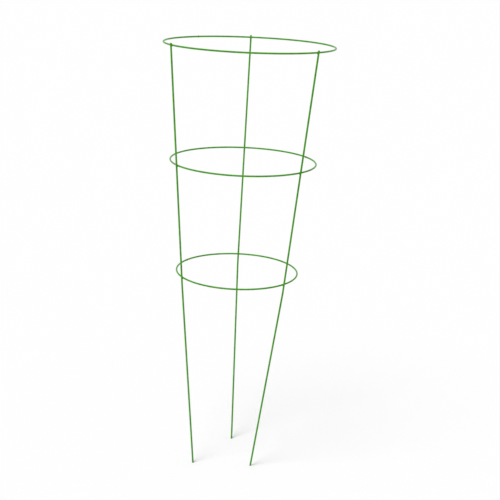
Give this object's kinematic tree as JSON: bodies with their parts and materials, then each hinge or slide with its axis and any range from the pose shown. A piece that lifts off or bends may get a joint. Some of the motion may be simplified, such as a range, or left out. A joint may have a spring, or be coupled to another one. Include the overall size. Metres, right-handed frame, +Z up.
{
  "type": "tomato cage",
  "caption": "Conical green wire cage: straight legs welded outside level rings, with bare lower ends that push into soil to hold up a climbing or fruiting plant.",
  "frame": {"origin": "on the ground plane under the middle of the top ring, level with the cut ends of the legs", "axes": "+Z up and square to the rings, -Y towards the viewer of the picture, +X to the viewer's right; the back leg stands on +Y"},
  "size_m": [0.3232, 0.3263, 0.8381],
  "materials": {
    "leg_coat": "satin",
    "ring_coat": "satin",
    "weld_coat": "satin"
  },
  "bodies": {
    "root": {"left_leg": "leg_coat", "back_leg": "leg_coat", "right_leg": "leg_coat", "top_ring": "ring_coat", "middle_ring": "ring_coat", "lower_ring": "ring_coat", "top_ring_joint": "weld_coat", "middle_ring_joint": "weld_coat", "lower_ring_joint": "weld_coat", "top_left_weld": "weld_coat", "top_back_weld": "weld_coat", "top_right_weld": "weld_coat", "middle_left_weld": "weld_coat", "middle_back_weld": "weld_coat", "middle_right_weld": "weld_coat", "lower_left_weld": "weld_coat", "lower_back_weld": "weld_coat", "lower_right_weld": "weld_coat"}
  },
  "joints": []
}
